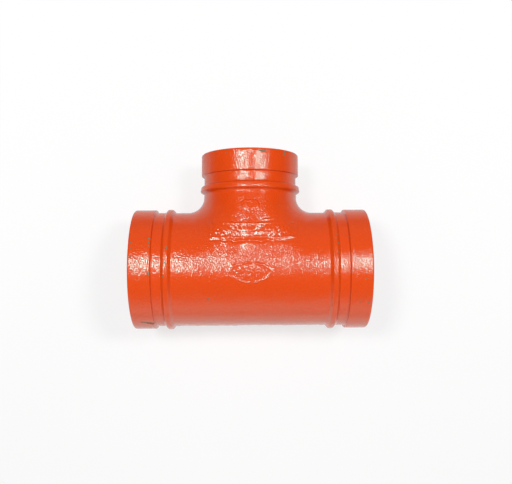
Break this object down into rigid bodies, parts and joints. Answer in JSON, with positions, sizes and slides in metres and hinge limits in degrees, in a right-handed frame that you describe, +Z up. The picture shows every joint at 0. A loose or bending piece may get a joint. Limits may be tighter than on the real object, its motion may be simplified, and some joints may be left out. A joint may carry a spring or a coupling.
{
  "type": "grooved reducing tee",
  "caption": "Cast pipe tee with grooved ends: a straight run and a smaller branch at right angles, each joined to its pipe by a grooved coupling.",
  "frame": {"origin": "the crossing of the run's and the branch's centrelines", "axes": "+X along the run; the branch points to +Y and leans down by 5.72 degrees, as the tee lies on its side; +Z up"},
  "size_m": [0.1714, 0.1335, 0.0894],
  "materials": {
    "paint": "gloss"
  },
  "bodies": {
    "root": {"tee_casting": "paint"}
  },
  "joints": []
}
